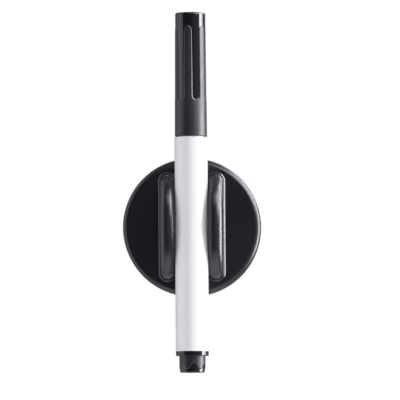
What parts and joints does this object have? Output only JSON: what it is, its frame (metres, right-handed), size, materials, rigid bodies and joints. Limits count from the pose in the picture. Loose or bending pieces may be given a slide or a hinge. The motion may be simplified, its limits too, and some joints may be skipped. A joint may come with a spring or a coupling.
{
  "type": "whiteboard marker with magnetic holder",
  "caption": "Slim whiteboard marker with a fluted cap and a tail plug, clipped between the arched jaws of a round magnetic holder that sits on a steel board.",
  "frame": {"origin": "centre of the holder's pad, on the face that lies on the board", "axes": "+Z away from the board, +Y along the marker towards its cap, +X to the right when the cap points up"},
  "size_m": [0.0522, 0.1361, 0.0219],
  "materials": {
    "gloss_black": "smooth moulded black",
    "satin_black": "satin moulded black",
    "rubber_black": "smooth black rubber",
    "pad_grey": "matt foam rubber",
    "barrel_white": "smooth moulded white",
    "seal_white": "natural moulded plastic",
    "felt_black": "inked felt",
    "fibre_white": "bonded fibre",
    "film_clear": "thin film",
    "ferrite": "ground ferrite",
    "zinc_steel": "zinc plated"
  },
  "bodies": {
    "holder": {"holder_cover": "gloss_black", "jaw_left": "rubber_black", "jaw_right": "rubber_black", "magnet": "ferrite", "steel_cup": "zinc_steel", "back_plate": "satin_black", "base_pad": "pad_grey"},
    "marker": {"barrel": "barrel_white", "nib_holder": "seal_white", "nib": "felt_black", "ink_reservoir": "fibre_white", "reservoir_film": "film_clear", "tail_plug": "satin_black"},
    "cap": {"cap_shell": "satin_black", "cap_seal": "seal_white"}
  },
  "joints": [
    {"name": "marker_slide", "type": "slide", "parent": "holder", "child": "marker", "axis": [0, 1, 0], "range_m": [-0.105, 0.08]},
    {"name": "cap_pull", "type": "slide", "parent": "marker", "child": "cap", "axis": [0, 1, 0], "range_m": [0, 0.04]}
  ]
}
